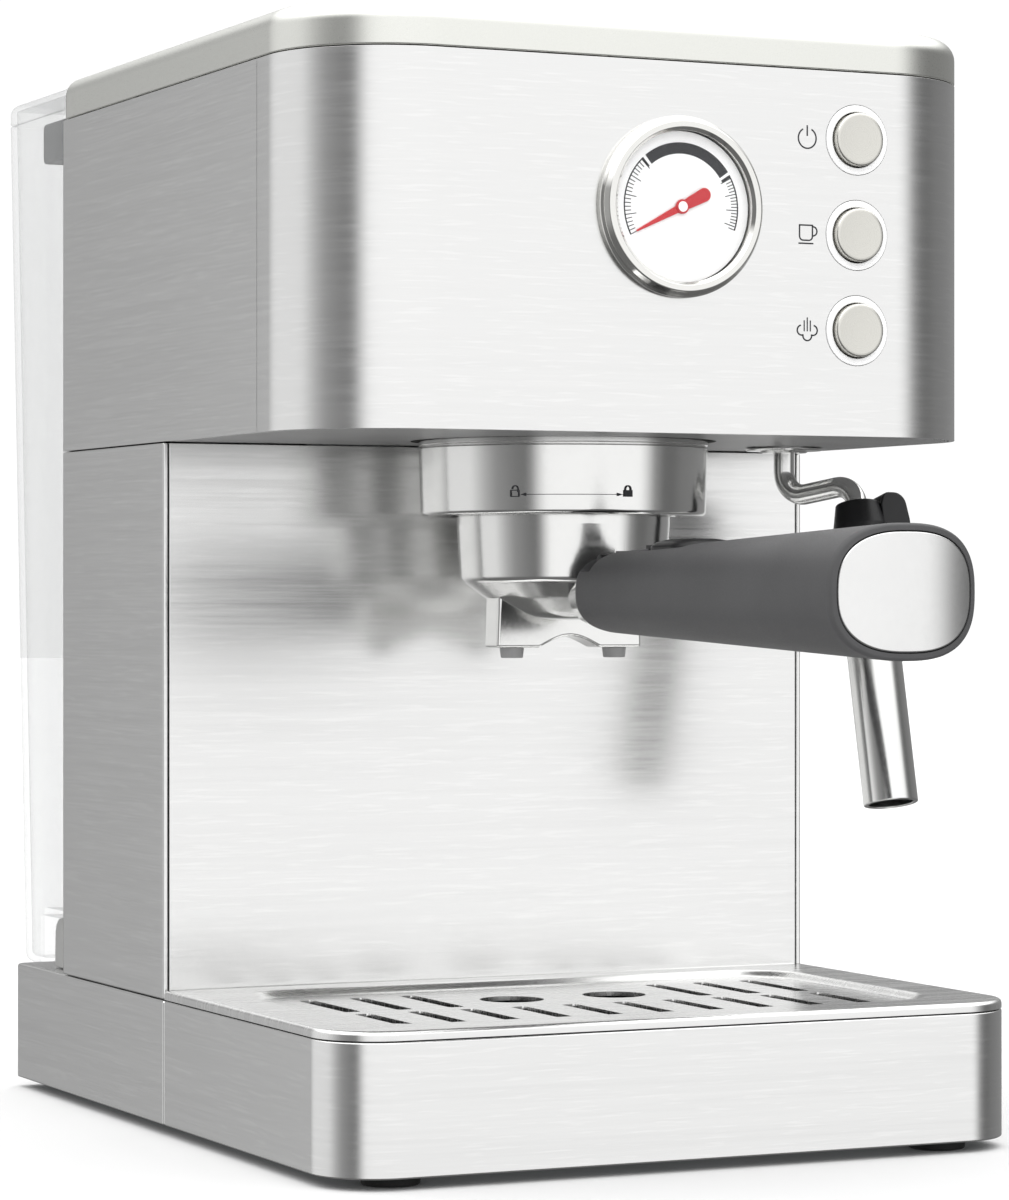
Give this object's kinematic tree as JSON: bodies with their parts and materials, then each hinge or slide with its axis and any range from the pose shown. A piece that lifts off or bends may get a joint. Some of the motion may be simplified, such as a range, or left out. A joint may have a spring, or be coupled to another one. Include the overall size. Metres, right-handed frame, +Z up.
{
  "type": "espresso machine",
  "caption": "Compact steel pump espresso machine with portafilter, steam wand, pressure gauge, buttons, drip tray and clear rear water tank.",
  "frame": {"origin": "centre of the whole machine's footprint, on the surface that the feet stand on", "axes": "-Y towards the user (the front with the handle), +X to the user's right (steam wand and knob), +Z up"},
  "size_m": [0.2278, 0.3808, 0.3073],
  "materials": {
    "brushed_steel": "fine horizontal brushing",
    "polished_steel": "polished",
    "lid_satin": "satin warm grey",
    "inner_steel": "plain zinc-coated sheet",
    "cast_aluminium": "as cast",
    "brass": "machined",
    "handle_plastic": "soft matte dark grey",
    "black_plastic": "fine matte grain",
    "grey_plastic": "fine matte grain",
    "white_plastic": "milky light ring",
    "white_dial": "printed dial",
    "red_needle": "gloss",
    "rubber": "moulded",
    "hose": "silicone hose",
    "circuit_board": "solder mask",
    "clear_plastic": "clear moulded plastic",
    "gauge_glass": "flat clear lens"
  },
  "bodies": {
    "machine": {"base_plate": "inner_steel", "foot_front_left": "rubber", "foot_front_right": "rubber", "foot_rear_left": "rubber", "foot_rear_right": "rubber", "rear_base_shell": "brushed_steel", "cord_gland": "rubber", "column_casing": "brushed_steel", "backsplash_panel": "brushed_steel", "head_casing": "brushed_steel", "head_front_panel": "brushed_steel", "head_underside": "grey_plastic", "top_lid": "lid_satin", "support_frame": "inner_steel", "thermoblock": "cast_aluminium", "solenoid_valve": "brass", "pump_body": "black_plastic", "suction_hose": "hose", "pressure_hose": "hose", "steam_valve_body": "brass", "steam_pipe": "polished_steel", "control_board": "circuit_board", "power_board": "circuit_board", "group_collar": "polished_steel", "group_gasket": "rubber", "shower_screen": "polished_steel", "wand_nut": "polished_steel", "gauge_bezel": "polished_steel", "gauge_glass": "gauge_glass", "gauge_dial": "white_dial", "gauge_case": "inner_steel", "power_light_ring": "white_plastic", "brew_light_ring": "white_plastic", "steam_light_ring": "white_plastic", "tank_dock": "grey_plastic"},
    "portafilter": {"portafilter_body": "polished_steel", "spout_left": "grey_plastic", "spout_right": "grey_plastic", "filter_basket": "polished_steel", "handle_grip": "handle_plastic", "handle_end_cap": "brushed_steel"},
    "clip": {"basket_clip": "black_plastic"},
    "steam_wand": {"wand_tube": "polished_steel", "wand_grip": "black_plastic"},
    "sleeve": {"froth_sleeve": "polished_steel"},
    "steam_tap": {"steam_knob": "black_plastic", "valve_stem": "brass"},
    "power_key": {"power_button": "brushed_steel"},
    "brew_key": {"brew_button": "brushed_steel"},
    "steam_key": {"steam_button": "brushed_steel"},
    "needle": {"gauge_needle": "red_needle"},
    "drip_tray": {"tray_shell": "brushed_steel", "tray_bin": "black_plastic"},
    "grate": {"drip_grate": "brushed_steel"},
    "water_tank": {"tank_body": "clear_plastic", "tank_handle": "black_plastic"},
    "tank_cover": {"tank_lid": "clear_plastic"},
    "valve_plug": {"tank_valve": "grey_plastic"},
    "piston": {"pump_piston": "polished_steel"}
  },
  "joints": [
    {"name": "portafilter_lock", "type": "hinge", "parent": "machine", "child": "portafilter", "pos_m": [-0.0114, -0.0011, 0.1529], "axis": [0, 0, 1], "range_deg": [-45, 0]},
    {"name": "basket_clip_flip", "type": "hinge", "parent": "portafilter", "child": "clip", "pos_m": [-0.0114, -0.0461, 0.1611], "axis": [-1, 0, 0], "range_deg": [0, 30]},
    {"name": "wand_swivel", "type": "hinge", "parent": "machine", "child": "steam_wand", "pos_m": [0.0676, 0.0134, 0.1954], "axis": [0, 0, 1], "range_deg": [-20, 90]},
    {"name": "sleeve_pull", "type": "slide", "parent": "steam_wand", "child": "sleeve", "axis": [-0.0138, -0.242, -0.9702], "range_m": [0, 0.025]},
    {"name": "steam_knob_turn", "type": "hinge", "parent": "machine", "child": "steam_tap", "pos_m": [0.0911, 0.0134, 0.248], "axis": [1, 0, 0], "range_deg": [0, 270]},
    {"name": "power_press", "type": "slide", "parent": "machine", "child": "power_key", "axis": [0, 1, 0], "range_m": [0, 0.0015], "stiffness_N_per_m": 800},
    {"name": "brew_press", "type": "slide", "parent": "machine", "child": "brew_key", "axis": [0, 1, 0], "range_m": [0, 0.0015], "stiffness_N_per_m": 800},
    {"name": "steam_press", "type": "slide", "parent": "machine", "child": "steam_key", "axis": [0, 1, 0], "range_m": [0, 0.0015], "stiffness_N_per_m": 800},
    {"name": "needle_sweep", "type": "hinge", "parent": "machine", "child": "needle", "pos_m": [-0.0094, -0.0679, 0.2558], "axis": [0, 1, 0], "range_deg": [0, 226], "stiffness_Nm_per_rad": 0.0003},
    {"name": "drip_tray_slide", "type": "slide", "parent": "machine", "child": "drip_tray", "axis": [0, -1, 0], "range_m": [0, 0.16]},
    {"name": "grate_lift", "type": "slide", "parent": "drip_tray", "child": "grate", "axis": [0, 0, 1], "range_m": [0, 0.022]},
    {"name": "water_tank_lift", "type": "slide", "parent": "machine", "child": "water_tank", "axis": [0, 0, 1], "range_m": [0, 0.1]},
    {"name": "tank_lid_hinge", "type": "hinge", "parent": "water_tank", "child": "tank_cover", "pos_m": [-0.0114, 0.1904, 0.2991], "axis": [-1, 0, 0], "range_deg": [0, 90]},
    {"name": "tank_valve_lift", "type": "slide", "parent": "water_tank", "child": "valve_plug", "axis": [0, 0, 1], "range_m": [0, 0.003], "stiffness_N_per_m": 150},
    {"name": "pump_stroke", "type": "slide", "parent": "machine", "child": "piston", "axis": [0, 0, 1], "range_m": [-0.003, 0.003], "stiffness_N_per_m": 2000}
  ]
}
